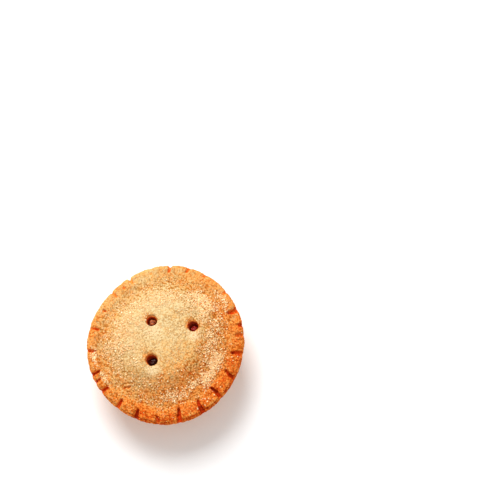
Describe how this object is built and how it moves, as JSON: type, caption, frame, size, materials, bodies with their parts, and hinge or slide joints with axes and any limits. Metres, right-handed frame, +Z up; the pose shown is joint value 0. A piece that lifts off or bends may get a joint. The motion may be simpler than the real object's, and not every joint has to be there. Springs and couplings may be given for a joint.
{
  "type": "mince pie",
  "caption": "Round baked mince pie with a domed shortcrust lid, a hand-crimped rim and vents that show the dark fruit filling, eaten as a sweet.",
  "frame": {"origin": "middle of the flat base, on the surface that the pie stands on", "axes": "+Z up out of the lid, +X to the right and +Y away from the viewer as the picture shows the lid"},
  "size_m": [0.0713, 0.0738, 0.0293],
  "materials": {
    "baked_pastry": "matte, finely crumbly baked shortcrust: pale straw in the middle, golden brown at the rim",
    "mincemeat": "sticky, glossy, very dark red-brown fruit"
  },
  "bodies": {
    "root": {"pastry": "baked_pastry", "mincemeat_upper_left": "mincemeat", "mincemeat_upper_right": "mincemeat", "mincemeat_lower_left": "mincemeat"}
  },
  "joints": []
}
